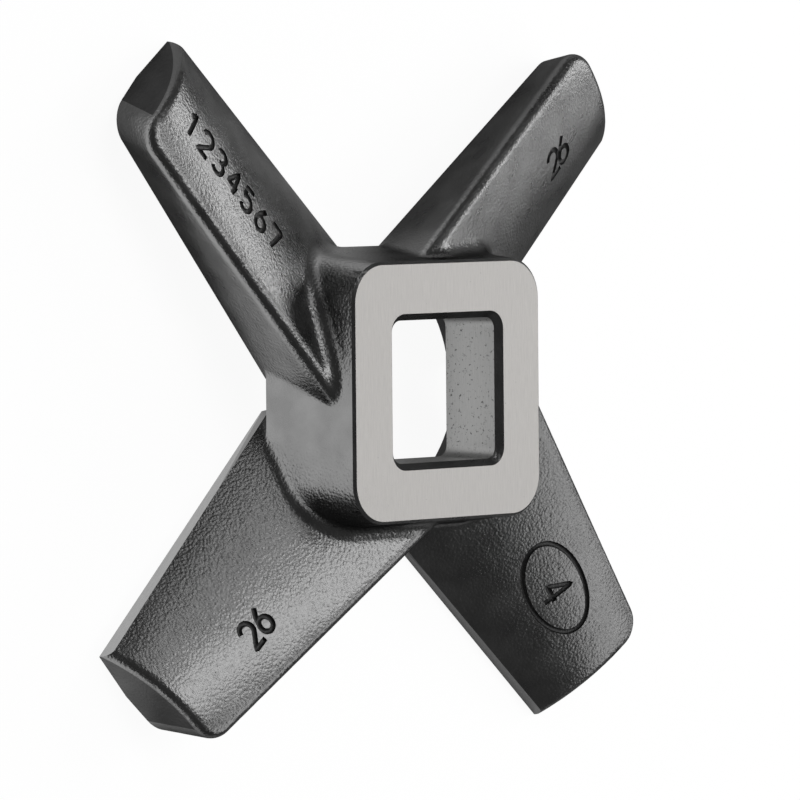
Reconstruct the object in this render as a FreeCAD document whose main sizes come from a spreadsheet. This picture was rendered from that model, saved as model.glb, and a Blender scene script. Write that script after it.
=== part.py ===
import FreeCAD, Part
import math
import os
import PartDesign, Sketcher

# Four-armed knife of a meat grinder, cast in one piece and ground, in millimetres.
# It lies on its cutting lands at z = 0 with the hub face up. The origin is on the
# axis of the driving square, and the sides of the hub lie along X and Y.
# The body is modelled with one arm along its own X axis and is then turned.

# Driving dimensions: name, value and what it measures; angles are in degrees
sizes = (
    ("arm_count", 4, "arms around the hub"),
    ("body_turn", 45.0, "turn of the first arm from the X axis"),
    ("arm_length", 48.2, "axis to the end of each arm at the cutting plane"),
    ("end_draft", 8.0, "lean of the flat end face of an arm"),
    ("end_skew", 5.0, "turn of the end face, outward at its trailing side"),
    ("inner_station", 6.0, "axis to the inner section of an arm"),
    ("edge_inset", 5.6, "cutting edge inward of half the hub's width, inner section"),
    ("edge_outer", 7.8, "cutting edge from the arm's middle line, at the end"),
    ("land_width", 6.0, "flat cutting land behind the edge"),
    ("cast_stock", 0.3, "stock under the cutting plane that is ground off"),
    ("heel_lift", 1.3, "underside of the arm above the cutting plane at its heel"),
    ("flank_inner", 1.0, "height of the ground flank, inner section"),
    ("flank_outer", 1.8, "height of the ground flank, at the end"),
    ("ridge_inset", 2.3, "ridge inward of half the hub's width, inner section"),
    ("ridge_outer", 7.1, "ridge from the arm's middle line, at the end"),
    ("ridge_drop", 0.95, "ridge below the hub face, inner section"),
    ("ridge_height", 7.5, "height of the ridge at the end of the arm"),
    ("foot_inset", 4.2, "foot of the trailing wall inward of half the hub's width, inner section"),
    ("foot_outer", 5.2, "foot of the trailing wall from the middle line, at the end"),
    ("crown_inner", 0.9, "rise of the convex back over its chord, inner section"),
    ("crown_outer", 1.9, "rise of the convex back over its chord, at the end"),
    ("end_corner", 2.9, "radius of the trailing corner at the end of the arm"),
    ("edge_round", 1.15, "radius along the ridge and over the end of the arm"),
    ("total_height", 15.0, "cutting lands to hub face"),
    ("hub_side", 29.0, "width of the square hub at its face"),
    ("hub_corner", 4.5, "plan radius of the hub corners"),
    ("hub_draft", 6.5, "casting draft of the hub walls"),
    ("hub_lift", 2.3, "underside of the hub above the cutting plane"),
    ("hub_rim_chamfer", 0.3, "softened rim of the hub face"),
    ("root_fillet", 1.8, "fillet where the arms leave the hub"),
    ("recess_excess", 0.4, "mouth of the round recess over the hub's width"),
    ("recess_draft", 14.0, "taper of the recess wall"),
    ("recess_depth", 6.5, "cutting plane to the floor of the recess"),
    ("drive_side", 15.9, "driving square across flats"),
    ("drive_corner", 1.3, "radius in the corners of the driving square"),
    ("drive_chamfer", 0.75, "chamfer at the mouth of the driving square"),
)
size = dict((alias, value) for alias, value, note in sizes)
touching = 0.01
level = 1e-5

doc = FreeCAD.newDocument("grinder_knife")
sheet = doc.addObject("Spreadsheet::Sheet", "sizes")
for row, (alias, value, note) in enumerate(sizes, start=1):
    sheet.set("A%d" % row, note)
    sheet.set("B%d" % row, str(value))
    sheet.setAlias("B%d" % row, alias)
doc.recompute()

body = doc.addObject("PartDesign::Body", "knife_body")
body.Label = "knife"

# A sketch numbers its points from 1, and its axes and origin are geometry -1
first_point, last_point, centre_point = range(1, 4)
axes = -first_point
vector = FreeCAD.Vector
upward = vector(0, 0, 1)


def origin_feature(role):
    return next(feature for feature in body.Origin.OriginFeatures if feature.Role == role)


def new_sketch(name, plane, height=None, turn=None, turn_axis=upward):
    """Sketch on a plane of the body, offset along its normal and turned by sheet formulas."""
    sketch = body.newObject("Sketcher::SketchObject", name)
    sketch.AttachmentSupport = [(origin_feature(plane), "")]
    sketch.MapMode = "FlatFace"
    if height:
        sketch.setExpression("AttachmentOffset.Base.z", height)
    if turn:
        sketch.AttachmentOffset = FreeCAD.Placement(vector(), FreeCAD.Rotation(turn_axis, worth(turn)))
        sketch.setExpression("AttachmentOffset.Rotation.Angle", turn)
    return sketch


def worth(formula):
    """Number that a formula of the sheet gives."""
    number = body.evalExpression(formula)
    return getattr(number, "Value", number)


def relate(sketch, kind, *where):
    return sketch.addConstraint(Sketcher.Constraint(kind, *where))


def bind(sketch, kind, formula, *where):
    """Dimension of a sketch that follows a formula of the sheet."""
    index = relate(sketch, kind, *where, worth(formula))
    sketch.setExpression("Constraints[%d]" % index, formula)


def edges_where(shape, wanted):
    """Names of the edges of a shape for which wanted(edge) is true."""
    return ["Edge%d" % number for number, edge in enumerate(shape.Edges, start=1) if wanted(edge)]


def feature(kind, name, profile=None, **lengths):
    """Feature of the body with its lengths tied to formulas of the sheet."""
    made = body.newObject("PartDesign::" + kind, name)
    if profile:
        made.Profile = profile
    for length, formula in lengths.items():
        made.setExpression(length, formula)
    return made


def dress(kind, name, base, edges, **lengths):
    """Fillet or chamfer on named edges of a feature."""
    made = feature(kind, name, **lengths)
    made.Base = (base, edges)
    doc.recompute()
    return made


# Distance of an edge, ridge or foot from the arm's middle line; the root is as wide as the hub
reach = {"inner": "(sizes.hub_side / 2 - sizes.%s_inset)", "outer": "sizes.%s_outer"}


# Arm section: land with its stock, upright ground flank, convex back, trailing wall, relief
def arm_section(name, place, crest_height, station, lean=None, lean_axis=None):
    """Section across an arm; place is inner or outer, and lean tips it about its own axis."""
    edge, ridge, foot = (reach[place] % part for part in ("edge", "ridge", "foot"))
    flank, crown = "sizes.flank_" + place, "sizes.crown_" + place
    land = "sizes.land_width - sizes.cast_stock / sizes.heel_lift * (%s + %s - sizes.land_width)"
    land_below = land % (foot, edge)
    toe = vector(-worth(edge), -size["cast_stock"], 0)
    shoulder = vector(-worth(edge), worth(flank), 0)
    crest = vector(worth(ridge), worth(crest_height), 0)
    heel = vector(worth(foot), size["heel_lift"], 0)
    land_end = toe + vector(worth(land_below), 0, 0)
    chord = crest - shoulder
    bulge = vector(-chord.y, chord.x, 0).normalize() * worth(crown)
    sketch = new_sketch(name, "YZ_Plane", station, lean, lean_axis)
    bottom = sketch.addGeometry(Part.LineSegment(land_end, toe))
    front = sketch.addGeometry(Part.LineSegment(toe, shoulder))
    back = sketch.addGeometry(Part.Arc(shoulder, (shoulder + crest) * 0.5 + bulge, crest))
    wall = sketch.addGeometry(Part.LineSegment(crest, heel))
    relief = sketch.addGeometry(Part.LineSegment(heel, land_end))
    back_start, back_end = first_point, last_point
    if sketch.getPoint(back, first_point).distanceToPoint(shoulder) > touching:
        back_start, back_end = last_point, first_point
    relate(sketch, "Coincident", bottom, last_point, front, first_point)
    relate(sketch, "Coincident", front, last_point, back, back_start)
    relate(sketch, "Coincident", back, back_end, wall, first_point)
    relate(sketch, "Coincident", wall, last_point, relief, first_point)
    relate(sketch, "Coincident", relief, last_point, bottom, first_point)
    relate(sketch, "Horizontal", bottom)
    relate(sketch, "Vertical", front)
    bind(sketch, "DistanceX", edge, front, first_point, axes, first_point)
    bind(sketch, "DistanceY", "sizes.cast_stock", front, first_point, axes, first_point)
    bind(sketch, "DistanceY", flank, axes, first_point, front, last_point)
    bind(sketch, "DistanceX", ridge, axes, first_point, wall, first_point)
    bind(sketch, "DistanceY", crest_height, axes, first_point, wall, first_point)
    bind(sketch, "DistanceX", foot, axes, first_point, wall, last_point)
    bind(sketch, "DistanceY", "sizes.heel_lift", axes, first_point, wall, last_point)
    bind(sketch, "DistanceX", land_below, bottom, last_point, bottom, first_point)
    # radius of an arc: its chord squared over eight times its crown, and half the crown
    across = "(%s + %s)^2 + (%s - %s)^2" % (edge, ridge, crest_height, flank)
    bind(sketch, "Radius", "(%s) / (8 * %s) + %s / 2" % (across, crown, crown), back)
    return sketch


inner_crest_height = "(sizes.total_height - sizes.ridge_drop)"
inner_section = arm_section(
    "arm_inner_section", "inner", inner_crest_height, "sizes.inner_station")
end_section = arm_section(
    "arm_end_section", "outer", "sizes.ridge_height", "sizes.arm_length",
    "sqrt(sizes.end_draft^2 + sizes.end_skew^2)", vector(-size["end_draft"], -size["end_skew"], 0))
doc.recompute()
arm = feature("AdditiveLoft", "arm", end_section)
arm.Sections = [inner_section]
arm.Ruled = True
doc.recompute()


def section_point(section, side, height):
    """Place of a point of a section, from its distance beside the middle line and its height."""
    return section.Placement.multVec(vector(worth(side), worth(height), 0))


def edges_through(made, one_end, other_end):
    """Names of the edges of a feature that pass midway between two points."""
    middle = Part.Vertex((one_end + other_end) * 0.5)
    return edges_where(made.Shape, lambda edge: edge.distToShape(middle)[0] < touching)


# Large round on the trailing end corner, then a small one along the ridge and on over the end
inner_crest = section_point(inner_section, reach["inner"] % "ridge", inner_crest_height)
end_crest = section_point(end_section, "sizes.ridge_outer", "sizes.ridge_height")
end_heel = section_point(end_section, "sizes.foot_outer", "sizes.heel_lift")
cornered = dress("Fillet", "end_corner", arm, edges_through(arm, end_crest, end_heel),
                 Radius="sizes.end_corner")
rounded_arm = dress("Fillet", "rounded_edges", cornered, edges_through(cornered, inner_crest, end_crest),
                    Radius="sizes.edge_round")

# The same arm all around the hub
arms = feature("PolarPattern", "arms", Occurrences="sizes.arm_count")
arms.TransformMode = "Whole shape"
arms.Axis = (origin_feature("Z_Axis"), [""])
body.Tip = arms
doc.recompute()


# Square with rounded corners about the origin of its sketch
def square_sketch(name, side, corner):
    """Sketch of a square at the height of the hub face; side and corner are size names."""
    sketch = new_sketch(name, "XY_Plane", "sizes.total_height", "-sizes.body_turn")
    half, radius = size[side] / 2, size[corner]
    flat = half - radius
    bend = flat + radius * math.sqrt(0.5)
    lines, arcs = [], []
    for quarter in range(4):
        turn = FreeCAD.Rotation(upward, 90 * quarter)
        start, stop = turn.multVec(vector(-flat, -half, 0)), turn.multVec(vector(flat, -half, 0))
        middle, after = turn.multVec(vector(bend, -bend, 0)), turn.multVec(vector(half, -flat, 0))
        lines.append(sketch.addGeometry(Part.LineSegment(start, stop)))
        arcs.append(sketch.addGeometry(Part.Arc(stop, middle, after)))
    for line, arc, following in zip(lines, arcs, lines[1:] + lines[:1]):
        relate(sketch, "Tangent", line, last_point, arc, first_point)
        relate(sketch, "Tangent", arc, last_point, following, first_point)
    for arc in arcs[1:]:
        relate(sketch, "Equal", arcs[0], arc)
    relate(sketch, "Horizontal", lines[0])
    relate(sketch, "Vertical", lines[1])
    relate(sketch, "Horizontal", lines[2])
    relate(sketch, "Vertical", lines[3])
    half_side = "sizes.%s / 2" % side
    bind(sketch, "Radius", "sizes." + corner, arcs[0])
    bind(sketch, "DistanceY", half_side, lines[0], first_point, axes, first_point)
    bind(sketch, "DistanceX", half_side, axes, first_point, lines[1], first_point)
    bind(sketch, "DistanceY", half_side, axes, first_point, lines[2], first_point)
    bind(sketch, "DistanceX", half_side, lines[3], first_point, axes, first_point)
    return sketch


hub = feature("Pad", "hub", square_sketch("hub_outline", "hub_side", "hub_corner"),
              Length="sizes.total_height - sizes.hub_lift", TaperAngle="sizes.hub_draft")
hub.Reversed = True
doc.recompute()


def is_hub_wall(face):
    """True for the drafted sides and corners of the hub."""
    u_first, u_last, v_first, v_last = face.ParameterRange
    place = (u_first + u_last) / 2, (v_first + v_last) / 2
    middle, normal = face.valueAt(*place), face.normalAt(*place)
    drafted = abs(abs(normal.z) - math.sin(math.radians(size["hub_draft"]))) < level
    return drafted and math.hypot(middle.x, middle.y) < size["hub_side"] * math.sqrt(0.5)


def is_root_edge(edge):
    """True for the edges in which an arm meets the walls of the hub."""
    walls = [face for face in hub.Shape.ancestorsOfType(edge, Part.Face) if is_hub_wall(face)]
    box = edge.BoundBox
    inside = box.ZMin > size["hub_lift"] - touching and box.ZMax < size["total_height"] - touching
    return len(walls) == 1 and inside and box.ZLength > touching


root_edges = edges_where(hub.Shape, is_root_edge)
root = dress("Fillet", "arm_roots", hub, root_edges, Radius="sizes.root_fillet")


def round_sketch(name, diameter):
    """Sketch of a circle about the axis in the cutting plane."""
    sketch = new_sketch(name, "XY_Plane")
    circle = sketch.addGeometry(Part.Circle(vector(), upward, worth(diameter) / 2))
    relate(sketch, "Coincident", circle, centre_point, axes, first_point)
    bind(sketch, "Diameter", diameter, circle)
    return sketch


# The stock is ground off all lands in one plane
ground = feature("Pocket", "ground_lands",
                 round_sketch("grinding_reach", "sizes.arm_length * 2 + sizes.hub_side"))
ground.Type = "ThroughAll"
doc.recompute()

# Round recess on the cutting side, narrowing towards its floor
recess = feature("Pocket", "recess", round_sketch("recess_outline", "sizes.hub_side + sizes.recess_excess"),
                 Length="sizes.recess_depth", TaperAngle="-sizes.recess_draft")
recess.Reversed = True
doc.recompute()

# Driving square through the hub, with a chamfered mouth, and the softened rim of the hub face
drive = feature("Pocket", "driving_square", square_sketch("drive_outline", "drive_side", "drive_corner"))
drive.Type = "ThroughAll"
doc.recompute()


def face_edges(shape, nearest, farthest):
    """Edges in the plane of the hub face whose ends lie between two distances from the axis."""
    def wanted(edge):
        box = edge.BoundBox
        in_face = box.ZLength < level and abs(box.ZMax - size["total_height"]) < level
        return in_face and all(nearest < math.hypot(v.X, v.Y) < farthest for v in edge.Vertexes)
    return edges_where(shape, wanted)


between = (size["drive_side"] + size["hub_side"]) / 4 * math.sqrt(2)
mouth = dress("Chamfer", "mouth_chamfer", drive, face_edges(drive.Shape, 0, between),
              Size="sizes.drive_chamfer")
rim = dress("Chamfer", "hub_rim", mouth, face_edges(mouth.Shape, between, size["hub_side"]),
            Size="sizes.hub_rim_chamfer")

body.Placement = FreeCAD.Placement(vector(), FreeCAD.Rotation(upward, size["body_turn"]))
body.setExpression("Placement.Rotation.Angle", "sizes.body_turn")
doc.recompute()

# Nothing is written unless every object is sound and the knife is one valid solid
failed = [made.Name for made in doc.Objects if {"Invalid", "Error"} & set(made.State)]
if failed:
    raise RuntimeError("failed objects: " + ", ".join(failed))
if body.Shape.isNull() or not body.Shape.isValid() or len(body.Shape.Solids) != 1:
    raise RuntimeError("the knife isn't one valid solid")
os.makedirs("parts", exist_ok=True)
body.Shape.exportStep("parts/knife.step")
print("knife: %.0f mm3" % body.Shape.Volume)
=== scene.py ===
import math

import bmesh
import bpy
from mathutils import Matrix, Vector


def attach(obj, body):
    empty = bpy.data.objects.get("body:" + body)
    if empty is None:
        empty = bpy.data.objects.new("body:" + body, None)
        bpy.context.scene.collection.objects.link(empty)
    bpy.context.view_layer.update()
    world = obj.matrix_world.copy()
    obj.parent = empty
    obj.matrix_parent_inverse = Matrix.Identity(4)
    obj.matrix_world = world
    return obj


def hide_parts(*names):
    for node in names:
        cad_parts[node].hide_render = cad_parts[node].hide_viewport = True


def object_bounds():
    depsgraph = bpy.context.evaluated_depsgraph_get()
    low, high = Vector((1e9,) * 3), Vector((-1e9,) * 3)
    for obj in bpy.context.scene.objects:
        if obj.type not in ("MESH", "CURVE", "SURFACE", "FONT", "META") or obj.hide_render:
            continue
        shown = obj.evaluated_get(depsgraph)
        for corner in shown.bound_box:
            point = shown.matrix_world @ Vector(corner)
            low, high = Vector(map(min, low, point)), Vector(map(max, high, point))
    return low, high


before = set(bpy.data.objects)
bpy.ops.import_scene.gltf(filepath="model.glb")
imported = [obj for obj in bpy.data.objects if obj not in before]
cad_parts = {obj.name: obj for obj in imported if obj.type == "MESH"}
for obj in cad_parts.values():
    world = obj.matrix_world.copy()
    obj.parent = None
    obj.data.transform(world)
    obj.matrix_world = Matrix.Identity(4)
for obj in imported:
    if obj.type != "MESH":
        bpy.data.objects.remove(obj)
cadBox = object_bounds()
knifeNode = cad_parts["knife"]
scene = bpy.context.scene
top = cadBox[1].z
mm = 0.001
sameSpot = 1e-6  # metres within which two points are one
print("frame loaded")


# Shader helpers

def newGroup(name, inputs, outputs):
    group = bpy.data.node_groups.new(name, "ShaderNodeTree")
    for label, value in inputs.items():
        kind = "NodeSocketVector" if value is None else "NodeSocketFloat"
        socket = group.interface.new_socket(label, in_out="INPUT", socket_type=kind)
        if kind == "NodeSocketFloat":
            socket.default_value = value
    for label in outputs:
        group.interface.new_socket(label, in_out="OUTPUT", socket_type="NodeSocketFloat")
    start = group.nodes.new("NodeGroupInput")
    end = group.nodes.new("NodeGroupOutput")
    return group, start, end


def addNode(tree, kind, settings=None, **links):
    node = tree.nodes.new("ShaderNode" + kind)
    for name, value in (settings or {}).items():
        if name in node.inputs:
            node.inputs[name].default_value = value
        else:
            setattr(node, name, value)
    for name, source in links.items():
        tree.links.new(source, node.inputs[name])
    return node


def addMath(tree, operation, *values):
    node = tree.nodes.new("ShaderNodeMath")
    node.operation = operation
    for place, value in enumerate(values):
        if isinstance(value, (int, float)):
            node.inputs[place].default_value = value
        else:
            tree.links.new(value, node.inputs[place])
    return node.outputs[0]


def addRange(tree, value, source, target, settings):
    node = addNode(tree, "MapRange", settings, Value=value)
    for label, number in zip(("From Min", "From Max", "To Min", "To Max"), (*source, *target)):
        node.inputs[label].default_value = number
    return node.outputs["Result"]


# Runs from the first level to the second between two stops of the factor
def addRamp(tree, factor, stops, levels, tint=(1.0, 1.0, 1.0)):
    node = tree.nodes.new("ShaderNodeValToRGB")
    tree.links.new(factor, node.inputs["Fac"])
    for element, place, level in zip(node.color_ramp.elements, stops, levels):
        element.position = place
        element.color = (*(level * part for part in tint), 1)
    return node.outputs["Color"]


mixSockets = {"first": 6, "second": 7, "result": 2}  # a colour mix has other inputs before these


def addColourMix(tree, factor, colour, level):
    node = addNode(tree, "Mix", {"data_type": "RGBA"}, Factor=factor)
    tree.links.new(colour, node.inputs[mixSockets["first"]])
    node.inputs[mixSockets["second"]].default_value = (level, level, level, 1)
    return node.outputs[mixSockets["result"]]


def addGroup(tree, group, vector, **values):
    node = tree.nodes.new("ShaderNodeGroup")
    node.node_tree = group
    tree.links.new(vector, node.inputs["Vector"])
    for name, value in values.items():
        node.inputs[name].default_value = value
    return node


def addBump(tree, shader, height, depth):
    bump = addNode(tree, "Bump", {"Distance": depth}, Height=height)
    tree.links.new(bump.outputs["Normal"], shader.inputs["Normal"])


def newMaterial(name, metallic):
    material = bpy.data.materials.new(name)
    material.use_nodes = True
    tree = material.node_tree
    shader = tree.nodes["Principled BSDF"]
    shader.inputs["Metallic"].default_value = metallic
    place = tree.nodes.new("ShaderNodeTexCoord").outputs["Object"]
    return material, tree, shader, place


grain = {"cells": 2600.0, "swell": 260.0, "cellShare": 0.9, "cellSoftness": 0.4,
         "fine": {"Detail": 3.0, "Roughness": 0.6}, "slow": {"Detail": 3.0, "Roughness": 0.5}}


# Leathery skin of an investment casting: fine pebbles, broken up, over a slow swell
def makeCastGrain():
    inputs = {"Vector": None, "Cells": grain["cells"], "Swell": grain["swell"]}
    group, start, end = newGroup("castGrain", inputs, ["Height", "Patch"])
    vector, scale = start.outputs["Vector"], start.outputs["Cells"]
    fine = addNode(group, "TexNoise", grain["fine"], Vector=vector, Scale=scale)
    cells = addNode(group, "TexVoronoi", {"feature": "SMOOTH_F1", "Smoothness": grain["cellSoftness"]},
                    Vector=vector, Scale=scale)
    slow = addNode(group, "TexNoise", grain["slow"], Vector=vector, Scale=start.outputs["Swell"])
    pebbles = addMath(group, "MULTIPLY", cells.outputs["Distance"], grain["cellShare"])
    height = addMath(group, "SUBTRACT", fine.outputs["Fac"], pebbles)
    group.links.new(height, end.inputs["Height"])
    group.links.new(slow.outputs["Fac"], end.inputs["Patch"])
    return group


grinding = {"fineness": 7800.0, "pits": 2600.0,
            "line": {"Detail": 4.0, "Roughness": 0.75}, "pit": {"Detail": 4.0, "Roughness": 0.7}}


# Lines left by a grinding wheel along one direction, with a few pits
def makeGrindLines():
    inputs = {"Vector": None, "Place": None, "Fineness": grinding["fineness"], "Pits": grinding["pits"]}
    group, start, end = newGroup("grindLines", inputs, ["Lines", "Pits"])
    lines = addNode(group, "TexNoise", grinding["line"],
                    Vector=start.outputs["Vector"], Scale=start.outputs["Fineness"])
    pits = addNode(group, "TexNoise", grinding["pit"],
                   Vector=start.outputs["Place"], Scale=start.outputs["Pits"])
    group.links.new(lines.outputs["Fac"], end.inputs["Lines"])
    group.links.new(pits.outputs["Fac"], end.inputs["Pits"])
    return group


castGrain = makeCastGrain()
grindLines = makeGrindLines()

cast = {"tone": (0.26, 0.32), "toneStops": (0.35, 0.65), "roughness": (0.26, 0.33), "roughStops": (0.3, 0.7),
        "cells": 3000, "depth": 0.000036, "edge": 0.25}


def makeCastSteel(name, settings):
    material, tree, shader, place = newMaterial(name, 1.0)
    skin = addGroup(tree, castGrain, place, Cells=settings["cells"])
    patch = skin.outputs["Patch"]
    tree.links.new(addRamp(tree, patch, settings["toneStops"], settings["tone"]), shader.inputs["Base Color"])
    tree.links.new(addRamp(tree, patch, settings["roughStops"], settings["roughness"]),
                   shader.inputs["Roughness"])
    shader.inputs["Specular Tint"].default_value = (settings["edge"],) * 3 + (1,)
    addBump(tree, shader, skin.outputs["Height"], settings["depth"])
    return material


ground = {"tone": (0.50, 0.64), "toneStops": (0.25, 0.75), "tint": (1.0, 0.974, 0.945),
          "roughness": (0.36, 0.48), "roughStops": (0.3, 0.7), "stretch": (1.0, 0.05, 1.0),
          "depth": 0.000006, "pitStops": (0.28, 0.33), "pitTone": 0.3}


# Fine grinding lines along one direction, with darker pits where the skin wasn't reached
def makeGroundSteel(name, settings):
    material, tree, shader, place = newMaterial(name, 1.0)
    mapping = addNode(tree, "Mapping", {"Scale": settings["stretch"]}, Vector=place)
    marks = addGroup(tree, grindLines, mapping.outputs["Vector"])
    tree.links.new(place, marks.inputs["Place"])
    lines = marks.outputs["Lines"]
    tone = addRamp(tree, lines, settings["toneStops"], settings["tone"], settings["tint"])
    pitted = addRamp(tree, marks.outputs["Pits"], settings["pitStops"], (1.0, 0.0))
    tree.links.new(addColourMix(tree, pitted, tone, settings["pitTone"]), shader.inputs["Base Color"])
    tree.links.new(addRamp(tree, lines, settings["roughStops"], settings["roughness"]),
                   shader.inputs["Roughness"])
    addBump(tree, shader, lines, settings["depth"])
    return material


# The ground strip is as high as "height" at the distances "reach" from the axis
flank = {"tone": (0.36, 0.46), "toneStops": (0.3, 0.7), "roughness": 0.42, "stretch": (1.0, 1.0, 12.0),
         "fineness": 900.0, "depth": 0.00001, "reach": (0.0155, 0.027), "height": (0.0002, 0.0016)}


# The strip widens outward, and above it the wall keeps its cast skin
def makeFlankSteel(name, settings):
    material, tree, shader, place = newMaterial(name, 1.0)
    mapping = addNode(tree, "Mapping", {"Scale": settings["stretch"]}, Vector=place)
    marks = addGroup(tree, grindLines, mapping.outputs["Vector"], Fineness=settings["fineness"])
    tone = addRamp(tree, marks.outputs["Lines"], settings["toneStops"], settings["tone"])
    axes = addNode(tree, "SeparateXYZ", Vector=place)
    squares = [addMath(tree, "POWER", axes.outputs[axis], 2.0) for axis in "XY"]
    reach = addMath(tree, "SQRT", addMath(tree, "ADD", *squares))
    height = addRange(tree, reach, settings["reach"], settings["height"], {"clamp": False})
    isCast = addMath(tree, "GREATER_THAN", axes.outputs["Z"], height)
    tree.links.new(addColourMix(tree, isCast, tone, cast["tone"][0]), shader.inputs["Base Color"])
    shader.inputs["Roughness"].default_value = settings["roughness"]
    addBump(tree, shader, marks.outputs["Lines"], settings["depth"])
    return material


castSteel = makeCastSteel("castSteel", cast)
# A darker copy of the cast steel for the faces of the marks: painted shade in the grooves, with a rougher
# surface
shadedGrooveSteel = makeCastSteel("shadedGrooveSteel", dict(cast, tone=(0.10, 0.13), roughness=(0.5, 0.6)))
# A darker copy of the cast steel for the faces turned like the arms' ends: painted shade on the ends
shadedEndSteel = makeCastSteel("shadedEndSteel", dict(cast, tone=(0.11, 0.14), roughness=(0.32, 0.38), depth=0.00003))
hubGround = makeGroundSteel("hubGround", ground)
boreSteel = makeGroundSteel("boreSteel", dict(ground, tone=(0.40, 0.56), tint=(1.0, 1.0, 0.99),
                                              pitStops=(0.35, 0.40), pitTone=0.12))
flankGround = makeFlankSteel("flankGround", flank)
print("materials made")


# Marks on the arms: plain numbers and a plain ring. A place on an arm is (along, side), in
# millimetres from the axis and from the arm's middle line, the trailing side being positive
armTurn = {"upperLeft": 135, "upperRight": 45, "lowerLeft": 225, "lowerRight": -45}  # degrees from X
arcSteps = {"digit": 14, "ring": 60}


def arcPoints(centre, radii, start, stop, steps=arcSteps["digit"]):
    turns = [math.radians(start + (stop - start) * step / steps) for step in range(steps + 1)]
    return [(centre[0] + radii[0] * math.cos(t), centre[1] + radii[1] * math.sin(t)) for t in turns]


# Strokes of each digit in a cell 0.6 wide and 1 high
digitStrokes = {
    "1": [[(0.12, 0.78), (0.34, 1.0), (0.34, 0.0)]],
    "2": [arcPoints((0.3, 0.7), (0.3, 0.3), 165, -30) + [(0.0, 0.0), (0.6, 0.0)]],
    "3": [arcPoints((0.28, 0.76), (0.26, 0.24), 150, -90) + arcPoints((0.28, 0.27), (0.3, 0.27), 90, -150)],
    "4": [[(0.44, 0.0), (0.44, 1.0), (0.0, 0.3), (0.6, 0.3)]],
    "5": [[(0.54, 1.0), (0.1, 1.0), (0.06, 0.56)] + arcPoints((0.28, 0.32), (0.3, 0.32), 135, -150)],
    "6": [arcPoints((0.3, 0.3), (0.28, 0.3), 0, 360), [(0.46, 1.0), (0.2, 0.72), (0.03, 0.36)]],
    "7": [[(0.0, 1.0), (0.58, 1.0), (0.22, 0.0)]],
}

# start is the lower corner of the first digit; inward text reads towards the hub
numbers = (
    {"arm": "upperLeft", "digits": "1234567", "start": (44.0, 2.1), "height": 3.0, "pitch": 2.8,
     "inward": True, "tilt": -3.5},
    {"arm": "lowerLeft", "digits": "26", "start": (36.2, 3.3), "height": 2.9, "pitch": 2.2,
     "inward": True, "tilt": 0},
    {"arm": "upperRight", "digits": "26", "start": (34.3, -1.7), "height": 3.4, "pitch": 2.1,
     "inward": False, "tilt": 0},
    {"arm": "lowerRight", "digits": "4", "start": (33.2, -1.3), "height": 3.6, "pitch": 2.1,
     "inward": False, "tilt": -6},
)
ring = {"arm": "lowerRight", "centre": (34.2, 0.5), "halfLength": 6.2, "halfWidth": 3.3, "tilt": -6.3}

# Grooves in millimetres; the strokes start above the knife, in metres, and drop onto it
groove = {"radius": 0.34, "sink": 0.05, "step": 0.25, "sides": 12, "above": 0.05, "drop": 0.1}


def onArm(arm, along, side):
    turn = math.radians(armTurn[arm])
    return (mm * (along * math.cos(turn) - side * math.sin(turn)),
            mm * (along * math.sin(turn) + side * math.cos(turn)))


def turned(point, degrees):
    turn = math.radians(degrees)
    return (point[0] * math.cos(turn) - point[1] * math.sin(turn),
            point[0] * math.sin(turn) + point[1] * math.cos(turn))


def numberStrokes(number):
    facing = -1 if number["inward"] else 1
    along, side = number["start"]
    for place, digit in enumerate(number["digits"]):
        for stroke in digitStrokes[digit]:
            flat = [turned((place * number["pitch"] + x * number["height"], y * number["height"]),
                           number["tilt"]) for x, y in stroke]
            yield [onArm(number["arm"], along + facing * x, side + facing * y) for x, y in flat]


def ringStroke():
    radii = (ring["halfLength"], ring["halfWidth"])
    flat = [turned(point, ring["tilt"]) for point in arcPoints((0, 0), radii, 0, 360, arcSteps["ring"])]
    return [onArm(ring["arm"], ring["centre"][0] + x, ring["centre"][1] + y) for x, y in flat]


def makeStrokeCurve(name, strokes, height):
    curve = bpy.data.curves.new(name, "CURVE")
    curve.dimensions = "3D"
    for stroke in strokes:
        spline = curve.splines.new("POLY")
        closed = (Vector(stroke[0]) - Vector(stroke[-1])).length < sameSpot
        points = stroke[:-1] if closed else stroke
        spline.points.add(len(points) - 1)
        for point, (x, y) in zip(spline.points, points):
            point.co = (x, y, height, 1)
        spline.use_cyclic_u = closed
    return newObject(name, curve)


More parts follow.
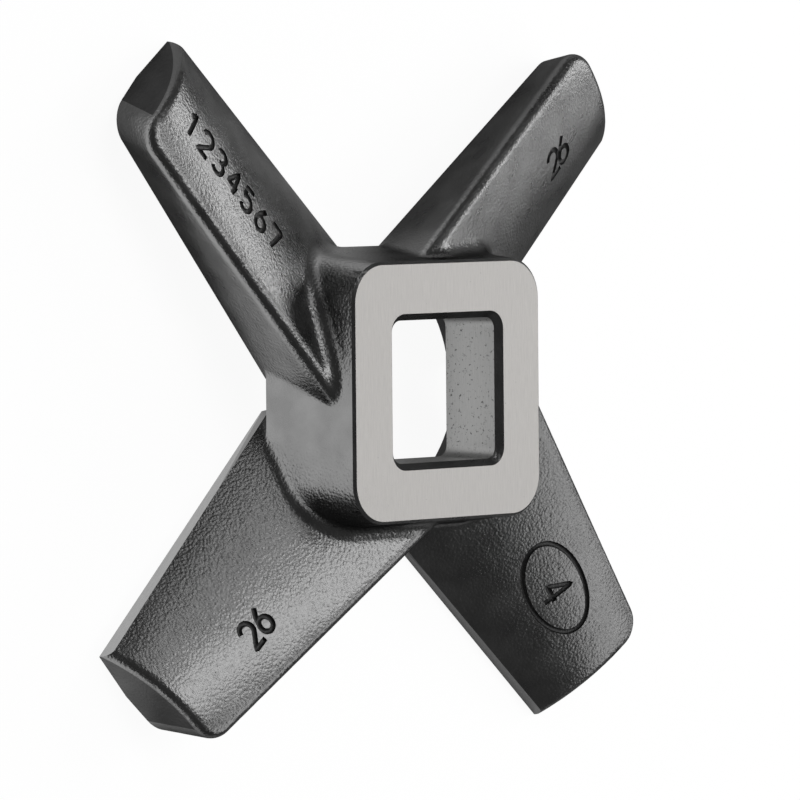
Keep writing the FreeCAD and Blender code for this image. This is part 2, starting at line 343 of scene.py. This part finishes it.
# Drops strokes onto a surface from above and makes them round tools for cutting grooves
def makeGrooveTree():
    tree = bpy.data.node_groups.new("grooveAlongSurface", "GeometryNodeTree")
    for label, kind in (("Strokes", "Geometry"), ("Surface", "Object"), ("Step", "Float"),
                        ("Radius", "Float"), ("Sink", "Float"), ("Sides", "Int"), ("Material", "Material")):
        tree.interface.new_socket(label, in_out="INPUT", socket_type="NodeSocket" + kind)
    tree.interface.new_socket("Tools", in_out="OUTPUT", socket_type="NodeSocketGeometry")

    def node(kind, **settings):
        made = tree.nodes.new(kind)
        for name, value in settings.items():
            setattr(made, name, value)
        return made

    start, end = node("NodeGroupInput"), node("NodeGroupOutput")
    surface = node("GeometryNodeObjectInfo", transform_space="RELATIVE")
    steps = node("GeometryNodeResampleCurve", mode="LENGTH")
    fall = node("GeometryNodeRaycast")
    fall.inputs["Ray Direction"].default_value = (0, 0, -1)
    fall.inputs["Ray Length"].default_value = groove["drop"]
    lift = node("ShaderNodeVectorMath", operation="SCALE")
    place = node("ShaderNodeVectorMath", operation="ADD")
    moved = node("GeometryNodeSetPosition")
    circle = node("GeometryNodeCurvePrimitiveCircle")
    tube = node("GeometryNodeCurveToMesh")
    tube.inputs["Fill Caps"].default_value = True
    realize = node("GeometryNodeRealizeInstances")
    paint = node("GeometryNodeSetMaterial")
    for source, target in (
            (start.outputs["Surface"], surface.inputs["Object"]),
            (start.outputs["Strokes"], steps.inputs["Curve"]),
            (start.outputs["Step"], steps.inputs["Length"]),
            (surface.outputs["Geometry"], fall.inputs["Target Geometry"]),
            (fall.outputs["Hit Normal"], lift.inputs[0]),
            (start.outputs["Sink"], lift.inputs["Scale"]),
            (fall.outputs["Hit Position"], place.inputs[0]),
            (lift.outputs[0], place.inputs[1]),
            (steps.outputs["Curve"], moved.inputs["Geometry"]),
            (place.outputs[0], moved.inputs["Position"]),
            (start.outputs["Radius"], circle.inputs["Radius"]),
            (start.outputs["Sides"], circle.inputs["Resolution"]),
            (moved.outputs["Geometry"], tube.inputs["Curve"]),
            (circle.outputs["Curve"], tube.inputs["Profile Curve"]),
            (tube.outputs["Mesh"], realize.inputs["Geometry"]),
            (realize.outputs["Geometry"], paint.inputs["Geometry"]),
            (start.outputs["Material"], paint.inputs["Material"]),
            (paint.outputs["Geometry"], end.inputs["Tools"])):
        tree.links.new(source, target)
    return tree


def setInput(modifier, label, value):
    socket = next(item for item in modifier.node_group.interface.items_tree
                  if item.name == label and item.in_out == "INPUT")
    modifier[socket.identifier] = value


def plainMesh(made, name):
    evaluated = made.evaluated_get(bpy.context.evaluated_depsgraph_get())
    mesh = bpy.data.meshes.new_from_object(evaluated)
    mesh.name = name
    return mesh


def newObject(name, data):
    made = bpy.data.objects.new(name, data)
    scene.collection.objects.link(made)
    return made


# The CAD solid, merged, without the normals it came with, which would bend the light at the marks
def makeCasting():
    shape = bmesh.new()
    shape.from_mesh(knifeNode.data)
    bmesh.ops.remove_doubles(shape, verts=shape.verts, dist=sameSpot)
    mesh = bpy.data.meshes.new("knifeCasting")
    shape.to_mesh(mesh)
    shape.free()
    if "custom_normal" in mesh.attributes:
        mesh.attributes.remove(mesh.attributes["custom_normal"])
    mesh.materials.append(castSteel)
    return newObject("knife_casting", mesh)


def makeMarkTools(knife):
    strokes = [stroke for number in numbers for stroke in numberStrokes(number)]
    curve = makeStrokeCurve("markStrokes", strokes + [ringStroke()], groove["above"])
    modifier = curve.modifiers.new("grooves", "NODES")
    modifier.node_group = makeGrooveTree()
    for label, value in (("Surface", knife), ("Step", groove["step"] * mm), ("Radius", groove["radius"] * mm),
                         ("Sink", -groove["sink"] * mm), ("Sides", groove["sides"]),
                         ("Material", shadedGrooveSteel)):
        setInput(modifier, label, value)
    tools = newObject("markTools", plainMesh(curve, "markTools"))
    bpy.data.objects.remove(curve)
    print("marks drawn:", len(tools.data.polygons), "faces")
    return tools


def cutMarks(knife, tools):
    cut = knife.modifiers.new("marks", "BOOLEAN")
    cut.operation = "DIFFERENCE"
    cut.solver = "EXACT"
    cut.use_self = True
    cut.material_mode = "TRANSFER"
    cut.object = tools
    marked = plainMesh(knife, "knifeCasting")
    knife.modifiers.clear()
    knife.data = marked
    bpy.data.objects.remove(tools)
    print("marks cut:", len(marked.polygons), "faces")


# Where each surface and the painted shade on the arms' ends begin: heights and distances from the axis in
# metres, the rest are parts of a face's direction, and crease is the angle in degrees past which an edge is
# sharp
zones = {"plane": 0.00002, "bore": 0.0115, "flankTop": 0.0028, "end": 0.0455, "level": 0.99, "upright": 0.05,
         "leading": -0.9, "endward": 0.97, "same": 0.9995, "crease": 32}
quarter = 90


# Parts of a direction along the arm nearest to a place, and towards the arm's trailing side
def alongArm(place, direction):
    sector = math.floor(math.degrees(math.atan2(place.y, place.x)) / quarter)
    turn = math.radians(sector * quarter + quarter / 2)
    return (direction.x * math.cos(turn) + direction.y * math.sin(turn),
            direction.y * math.cos(turn) - direction.x * math.sin(turn))


def findEndDirection(mesh):
    ends = [face for face in mesh.polygons if face.center.to_2d().length > zones["end"]]
    flat = [face for face in ends if alongArm(face.center, face.normal)[0] > zones["endward"]]
    largest = max(flat, key=lambda face: face.area)
    return Vector((*alongArm(largest.center, largest.normal), largest.normal.z))


# Steel of a face, its finishing or painted shade, from where it lies and which way it faces
def finishOrShadeOf(face, endDirection):
    centre, normal = face.center, face.normal
    outward, side = alongArm(centre, normal)
    upright = abs(normal.z) < zones["upright"]
    if abs(centre.z - top) < zones["plane"] and normal.z > zones["level"]:
        return hubGround
    if abs(centre.z) < zones["plane"] and normal.z < -zones["level"]:
        return flankGround
    if upright and math.hypot(centre.x, centre.y) < zones["bore"]:
        return boreSteel
    if upright and centre.z < zones["flankTop"] and side < zones["leading"]:
        return flankGround
    # Faces turned like the arms' ends are given painted shade, a darker copy of the cast steel
    if endDirection.dot((outward, side, normal.z)) > zones["same"]:
        return shadedEndSteel
    return castSteel


def sharpenGrooveLips(mesh, grooveSlot):
    sides = {}
    for face in mesh.polygons:
        for loop in face.loop_indices:
            sides.setdefault(mesh.loops[loop].edge_index, set()).add(face.material_index == grooveSlot)
    for edge in mesh.edges:
        if len(sides[edge.index]) == 2:
            edge.use_edge_sharp = True


def finishKnife(knife):
    mesh = knife.data
    isGroove = [mesh.materials[face.material_index] == shadedGrooveSteel for face in mesh.polygons]
    endDirection = findEndDirection(mesh)
    finishesAndShades = [castSteel, hubGround, flankGround, boreSteel, shadedEndSteel, shadedGrooveSteel]
    mesh.materials.clear()
    for material in finishesAndShades:
        mesh.materials.append(material)
    # The faces of the marks get painted shade in the grooves; the others get their surface, or painted shade
    # at the arms' ends
    for face, marked in zip(mesh.polygons, isGroove):
        surfaceOrShade = shadedGrooveSteel if marked else finishOrShadeOf(face, endDirection)
        face.material_index = finishesAndShades.index(surfaceOrShade)
    mesh.shade_smooth()
    mesh.set_sharp_from_angle(angle=math.radians(zones["crease"]))
    sharpenGrooveLips(mesh, finishesAndShades.index(shadedGrooveSteel))


knife = makeCasting()
cutMarks(knife, makeMarkTools(knife))
finishKnife(knife)
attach(knife, "root")
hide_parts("knife")
print("knife finished")


# The floor looks white, but shows the metal only a share of that, "mirrored". The share rises to the whole
# between two places:
# in front of the hub, through its hole, and past the arms' ends, patches of painted glow that only the
# metal's reflections show
floorSettings = {"size": 6.0, "drop": 0.00003, "tone": 0.6, "roughness": 0.8, "white": 0.75, "glow": 1.25,
                 "mirrored": 0.13, "front": (0.006, -0.002), "frontEnd": (-0.042, -0.032),
                 "hole": (-0.012, -0.008), "besideArm": (-0.0127, -0.0184), "beyond": (-0.040, -0.045)}


def addFloorShare(tree, place):
    axes = addNode(tree, "SeparateXYZ", Vector=place)
    x, y = axes.outputs["X"], axes.outputs["Y"]
    sources = {"front": x, "frontEnd": y, "hole": x, "besideArm": addMath(tree, "ADD", x, y), "beyond": x}
    share = {name: addRange(tree, source, floorSettings[name], (floorSettings["mirrored"], 1.0),
                            {"interpolation_type": "SMOOTHSTEP"}) for name, source in sources.items()}
    near = addMath(tree, "MINIMUM", addMath(tree, "MINIMUM", share["front"], share["frontEnd"]),
                   addMath(tree, "MAXIMUM", share["hole"], share["besideArm"]))
    return addMath(tree, "MAXIMUM", near, share["beyond"])


def makeFloor():
    half = floorSettings["size"] / 2
    height = cadBox[0].z - floorSettings["drop"]
    corners = [(x, y, height) for x, y in ((-half, -half), (half, -half), (half, half), (-half, half))]
    mesh = bpy.data.meshes.new("floor")
    mesh.from_pydata(corners, [], [(0, 1, 2, 3)])
    floor = newObject("floor", mesh)
    material, tree, shader, place = newMaterial("paleFloor", 0.0)
    shader.inputs["Base Color"].default_value = (floorSettings["tone"],) * 3 + (1,)
    shader.inputs["Roughness"].default_value = floorSettings["roughness"]
    path = tree.nodes.new("ShaderNodeLightPath")
    reflected = addMath(tree, "MAXIMUM", path.outputs["Is Glossy Ray"], path.outputs["Is Transmission Ray"])
    # Painted reflection: the metal sees the floor glowing white in these patches
    mirrored = addMath(tree, "MULTIPLY", addFloorShare(tree, place), reflected)
    seen = addMath(tree, "MAXIMUM", path.outputs["Is Camera Ray"], mirrored)
    share = addMath(tree, "MULTIPLY", seen, floorSettings["white"])
    glow = addNode(tree, "Emission", {"Strength": floorSettings["glow"]})
    mixed = tree.nodes.new("ShaderNodeMixShader")
    tree.links.new(share, mixed.inputs["Fac"])
    tree.links.new(shader.outputs["BSDF"], mixed.inputs[1])
    tree.links.new(glow.outputs["Emission"], mixed.inputs[2])
    tree.links.new(mixed.outputs["Shader"], tree.nodes["Material Output"].inputs["Surface"])
    mesh.materials.append(material)


worldLevel = 0.06  # what lights the knife; the camera sees white


def makeWorld():
    world = bpy.data.worlds.new("studio")
    scene.world = world
    world.use_nodes = True
    tree = world.node_tree
    background = tree.nodes["Background"]
    background.inputs["Color"].default_value = (1, 1, 1, 1)
    path = tree.nodes.new("ShaderNodeLightPath")
    shown = addMath(tree, "MAXIMUM", path.outputs["Is Camera Ray"], worldLevel)
    tree.links.new(shown, background.inputs["Strength"])


# Direction at a bearing from X towards Y, both in degrees
def towards(bearing, elevation):
    turn, rise = math.radians(bearing), math.radians(elevation)
    return Vector((math.cos(rise) * math.cos(turn), math.cos(rise) * math.sin(turn), math.sin(rise)))


# A panel's brightness is what a mirror would show of it
panels = (
    {"name": "lowPanel", "bearing": 18, "elevation": 27, "size": (0.42, 0.24), "brightness": 3.4},
    {"name": "lowerPanel", "bearing": -8, "elevation": 14, "size": (0.42, 0.2), "brightness": 1.85},
    {"name": "facePanel", "bearing": -23, "elevation": 47, "size": (1.0, 0.4), "brightness": 1.2},
    {"name": "topPanel", "bearing": 48, "elevation": 73, "size": (0.5, 0.5), "brightness": 2.0},
    {"name": "sidePanel", "bearing": 94, "elevation": 48, "size": (0.4, 0.3), "brightness": 1.1},
)
panelDistance = 1.0
panelAim = Vector((0, 0, 0.01))


def makeLights():
    for panel in panels:
        light = bpy.data.lights.new(panel["name"], "AREA")
        light.shape = "RECTANGLE"
        light.size, light.size_y = panel["size"]
        light.energy = panel["brightness"] * math.pi * light.size * light.size_y
        made = newObject(panel["name"], light)
        made.location = panelDistance * towards(panel["bearing"], panel["elevation"])
        made.rotation_euler = (panelAim - made.location).to_track_quat("-Z", "Y").to_euler()


# The picture's upward direction is the world's Y
shot = {"aim": (-0.0075, -0.0008), "distance": 0.7754, "bearing": 176.23, "elevation": 46.01,
        "roll": 0.53, "lens": 315.0, "sensor": 36.0, "clip": (0.01, 20.0)}


def makeCamera():
    away = towards(shot["bearing"], shot["elevation"])
    aim = Vector((*shot["aim"], top))
    right = (-away).cross(Vector((0, 1, 0))).normalized()
    up = right.cross(-away)
    roll = math.radians(shot["roll"])
    up, right = (up * math.cos(roll) + right * math.sin(roll), right * math.cos(roll) - up * math.sin(roll))
    data = bpy.data.cameras.new("camera")
    data.lens = shot["lens"]
    data.sensor_width = shot["sensor"]
    data.clip_start, data.clip_end = shot["clip"]
    camera = newObject("camera", data)
    camera.matrix_world = Matrix.Translation(aim + away * shot["distance"]) @ Matrix(
        (right, up, away)).transposed().to_4x4()
    scene.camera = camera


makeFloor()
makeWorld()
makeLights()
makeCamera()
scene.view_settings.view_transform = "Standard"
print("floor, light and camera made")
